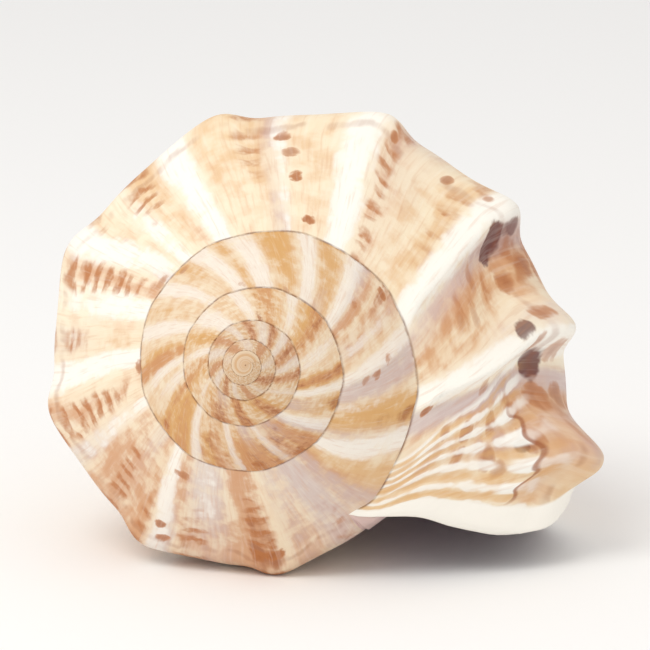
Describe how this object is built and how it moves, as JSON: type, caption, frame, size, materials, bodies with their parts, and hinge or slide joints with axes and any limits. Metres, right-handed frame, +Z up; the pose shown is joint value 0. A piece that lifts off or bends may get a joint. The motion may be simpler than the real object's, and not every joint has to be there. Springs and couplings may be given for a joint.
{
  "type": "conch shell",
  "caption": "Knobbed conch shell grown as one piece: low coiled spire, knobbed shoulder, hollow last whorl with a thick lip and a tapering canal, lying on its aperture.",
  "frame": {"origin": "on the surface that the shell lies on, under the middle of its bounding box", "axes": "+Z up, +Y along the coiling axis seen from above, from the apex towards the canal, +X towards the outer lip"},
  "size_m": [0.11, 0.143, 0.0869],
  "materials": {
    "shell": "cream shell with tan flames and brown dashes, satin outside and glossy at the lip"
  },
  "bodies": {
    "root": {"shell": "shell"}
  },
  "joints": []
}
